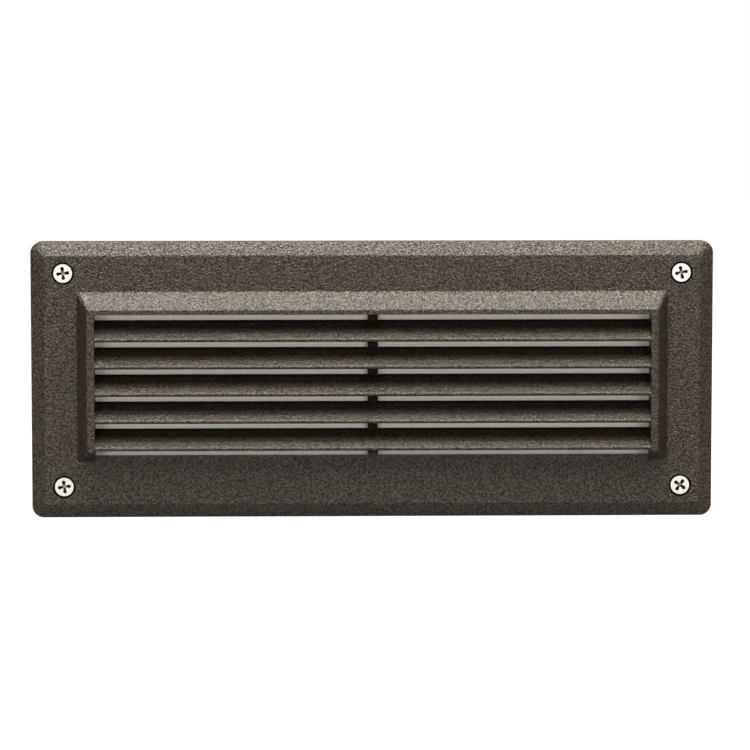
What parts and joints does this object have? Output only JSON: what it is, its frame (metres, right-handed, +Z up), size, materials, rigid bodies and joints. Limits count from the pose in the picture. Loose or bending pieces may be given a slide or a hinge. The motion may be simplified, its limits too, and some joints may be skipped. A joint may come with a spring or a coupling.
{
  "type": "step_light",
  "caption": "Recessed step light: textured bronze die-cast faceplate with a louvred hood over a frosted lens, and a back box with wedge lamps on a bracket.",
  "frame": {"origin": "in the wall's plane, at the centre of the faceplate's outline", "axes": "-Y towards the viewer, +Y into the wall, +X to the right, +Z up"},
  "size_m": [0.235, 0.0994, 0.0952],
  "materials": {
    "bronze_powder_coat": "textured matt powder coat on die-cast aluminium",
    "stainless_steel": "bright",
    "zinc_plated_steel": "satin",
    "frosted_glass": "frosted",
    "clear_glass": "clear",
    "reflector_white": "gloss white on aluminium sheet",
    "black_rubber": "matt",
    "white_silicone": "matt",
    "black_plastic": "matt nylon",
    "holder_plastic": "matt",
    "block_plastic": "natural nylon",
    "brass": "satin",
    "tungsten": "dull",
    "lead_insulation": "satin"
  },
  "bodies": {
    "back_box": {"housing": "bronze_powder_coat", "reflector": "reflector_white", "reflector_screws": "zinc_plated_steel", "lampholder_bracket": "zinc_plated_steel", "bracket_rivets": "zinc_plated_steel", "lampholder_left": "holder_plastic", "lampholder_right": "holder_plastic", "socket_contacts_left": "brass", "socket_contacts_right": "brass", "lead_grommet": "black_rubber", "lamp_leads": "lead_insulation", "terminal_block": "block_plastic", "terminal_screws": "brass", "block_fixing_screw": "zinc_plated_steel", "gland_body": "black_plastic", "gland_washer": "black_rubber", "gland_locknut": "black_plastic", "gland_seal": "black_rubber", "gland_cap": "black_plastic", "entry_plug": "bronze_powder_coat", "entry_plug_seal": "black_rubber"},
    "face": {"faceplate": "bronze_powder_coat", "face_screws": "stainless_steel", "screw_retainers": "black_plastic", "face_gasket": "black_rubber", "lens": "frosted_glass", "lens_gasket": "white_silicone", "lens_clips": "stainless_steel", "lens_clip_screws": "stainless_steel"},
    "left_lamp": {"lamp_left": "clear_glass", "filament_left": "tungsten"},
    "right_lamp": {"lamp_right": "clear_glass", "filament_right": "tungsten"}
  },
  "joints": [
    {"name": "faceplate_lift", "type": "slide", "parent": "back_box", "child": "face", "axis": [0, -1, 0], "range_m": [0, 0.06]},
    {"name": "left_lamp_pull", "type": "slide", "parent": "back_box", "child": "left_lamp", "axis": [-1, 0, 0], "range_m": [0, 0.012]},
    {"name": "right_lamp_pull", "type": "slide", "parent": "back_box", "child": "right_lamp", "axis": [1, 0, 0], "range_m": [0, 0.012]}
  ]
}
